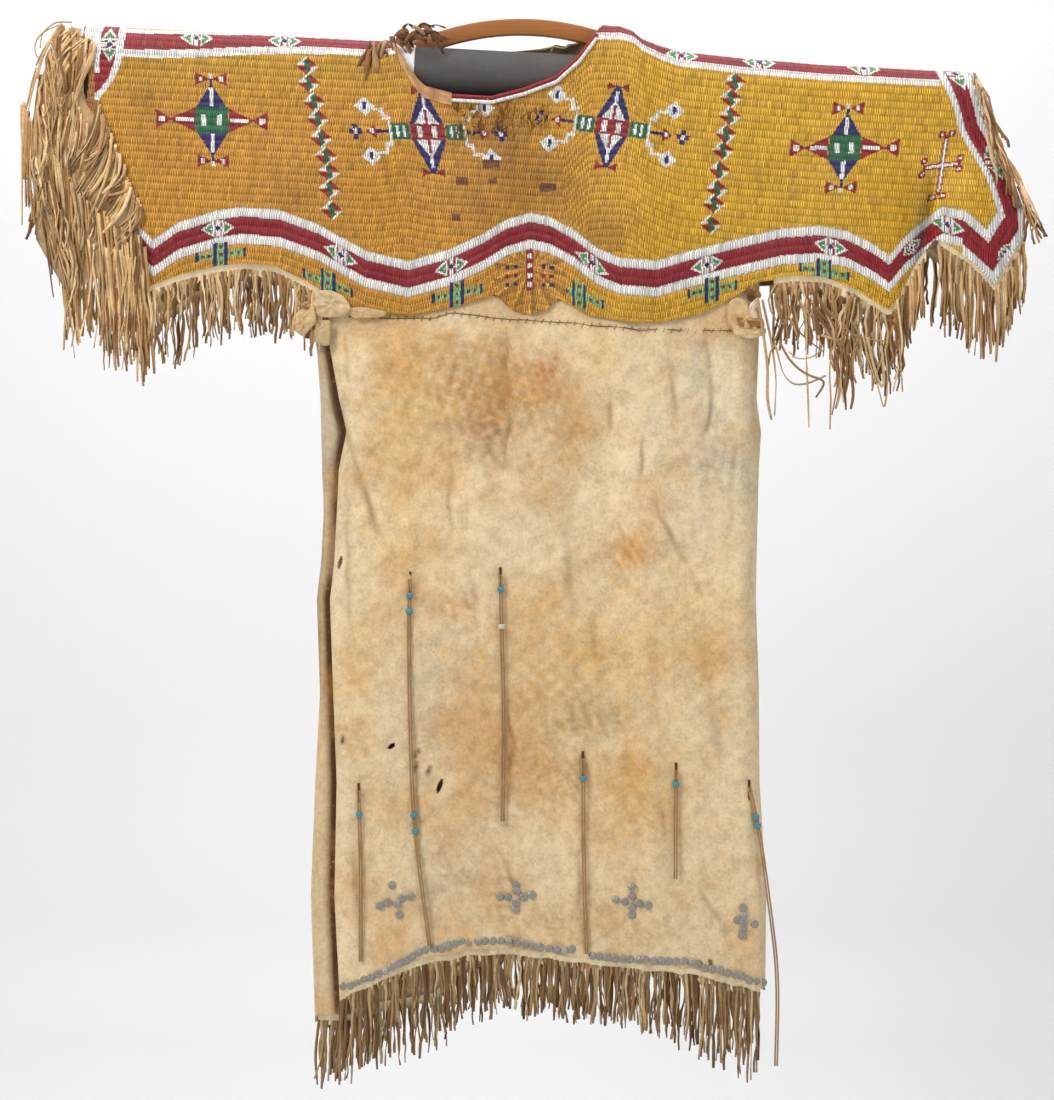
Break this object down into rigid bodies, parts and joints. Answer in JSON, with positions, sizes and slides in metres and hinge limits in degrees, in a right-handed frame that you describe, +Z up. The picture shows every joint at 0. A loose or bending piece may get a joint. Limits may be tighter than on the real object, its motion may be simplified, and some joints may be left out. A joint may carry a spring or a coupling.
{
  "type": "beaded hide dress on a padded rod hanger",
  "caption": "Fringed hide dress with a wide beaded yoke and open sleeves, hung flat on a padded rod with a bentwood handle.",
  "frame": {"origin": "underside of the handle's top, where a hook or a hand holds the hanger", "axes": "+Z up, -Y out of the dress's front, +X to the viewer's right"},
  "size_m": [1.3403, 0.1144, 1.4218],
  "materials": {
    "ochre_beads": "opaque glass seed beads in lanes, satin",
    "edging_beads": "opaque glass seed beads, satin",
    "cream_hide": "soft tanned hide, matte",
    "fringe_hide": "cut hide, matte",
    "handle_wood": "varnished bentwood",
    "grey_foam": "closed-cell foam, matte",
    "white_tape": "soft wrap, matte",
    "turquoise_bead": "opaque glass, glossy",
    "white_bead": "opaque glass, glossy"
  },
  "bodies": {
    "root": {"armpit_tie_left": "cream_hide", "armpit_tie_right": "cream_hide", "bead_a1": "turquoise_bead", "bead_a2": "turquoise_bead", "bead_a3": "turquoise_bead", "bead_a4": "turquoise_bead", "bead_b1": "turquoise_bead", "bead_b2": "white_bead", "bead_c1": "turquoise_bead", "bead_d1": "turquoise_bead", "bead_e1": "turquoise_bead", "bead_f1": "turquoise_bead", "bead_f2": "turquoise_bead", "cuff_turnback": "fringe_hide", "fringe_back_left": "fringe_hide", "fringe_back_right": "fringe_hide", "fringe_cuff_back": "fringe_hide", "fringe_cuff_left": "fringe_hide", "fringe_cuff_low": "fringe_hide", "fringe_cuff_right": "fringe_hide", "fringe_hem_back": "fringe_hide", "fringe_hem_front": "fringe_hide", "fringe_hem_strip": "fringe_hide", "fringe_sleeve_flap": "fringe_hide", "fringe_sleeve_fold": "fringe_hide", "fringe_sleeve_left": "fringe_hide", "fringe_sleeve_right": "fringe_hide", "handle": "handle_wood", "neck_edging": "edging_beads", "padded_rod": "grey_foam", "rod_wrap_left": "white_tape", "rod_wrap_right": "white_tape", "skirt_back": "cream_hide", "skirt_front": "cream_hide", "thong_a1": "fringe_hide", "thong_a2": "fringe_hide", "thong_b1": "fringe_hide", "thong_b2": "fringe_hide", "thong_c1": "fringe_hide", "thong_c2": "fringe_hide", "thong_d1": "fringe_hide", "thong_d2": "fringe_hide", "thong_e1": "fringe_hide", "thong_e2": "fringe_hide", "thong_f1": "fringe_hide", "thong_f2": "fringe_hide", "yoke_back": "ochre_beads", "yoke_front": "ochre_beads"}
  },
  "joints": []
}
